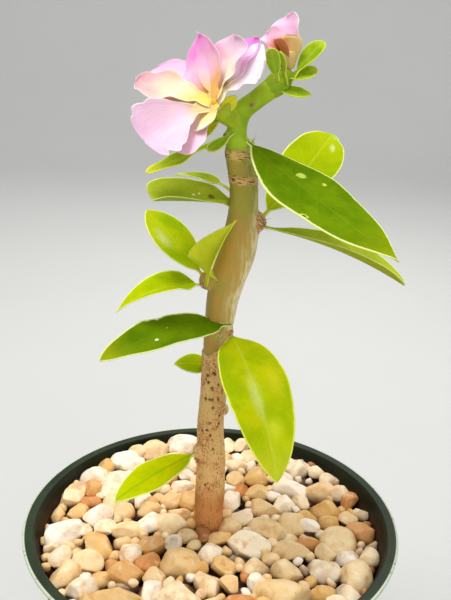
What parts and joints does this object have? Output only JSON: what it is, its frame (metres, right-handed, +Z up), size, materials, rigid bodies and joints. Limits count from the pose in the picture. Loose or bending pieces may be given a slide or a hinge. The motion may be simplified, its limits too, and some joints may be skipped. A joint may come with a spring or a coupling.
{
  "type": "potted pereskia",
  "caption": "Potted leafy cactus: one upright woody stem with broad green leaves and pink blooms, standing in a round nursery pot topped with river pebbles.",
  "frame": {"origin": "centre of the pot's underside, on the surface that it stands on", "axes": "+Z is up, along the stem; -Y is the front that the picture shows; +X is to its right"},
  "size_m": [0.15, 0.15, 0.3036],
  "materials": {
    "green_plastic": "dark green moulded nursery pot, softly glossy, paler along the rim's edge",
    "soil": "damp dark potting soil with bark crumbs",
    "gravel": "smooth river pebbles in cream, tan, ochre and white",
    "bark": "tan corky bark below, olive brown above, fresh green at the shoot",
    "dark_leaf": "waxy dark green leaf with a pale margin and a few pale spots",
    "yellow_green_leaf": "waxy yellow green leaf with faint veins",
    "olive_leaf": "waxy olive green leaf with a yellow margin",
    "green_cup": "fleshy green flower cup with leafy bracts",
    "pink_petal": "thin pink petals that pale to cream and yellow towards the throat"
  },
  "bodies": {
    "root": {"leaf_behind_bark": "yellow_green_leaf", "leaf_dark_right": "dark_leaf", "leaf_drooping_left": "yellow_green_leaf", "leaf_folded_front": "yellow_green_leaf", "leaf_hanging_front": "yellow_green_leaf", "leaf_long_left": "dark_leaf", "leaf_low_left": "yellow_green_leaf", "leaf_right_behind": "yellow_green_leaf", "leaf_right_edge_on": "olive_leaf", "leaf_rising_left": "yellow_green_leaf", "leaf_under_bloom": "olive_leaf", "leaf_upper_back": "olive_leaf", "leaf_upper_left": "olive_leaf", "main_bloom": "pink_petal", "main_bloom_cup": "green_cup", "pebble_bed": "gravel", "pot": "green_plastic", "potting_soil": "soil", "second_bloom": "pink_petal", "second_bloom_cup": "green_cup", "shoot_leaf_low": "olive_leaf", "stem": "bark"}
  },
  "joints": []
}
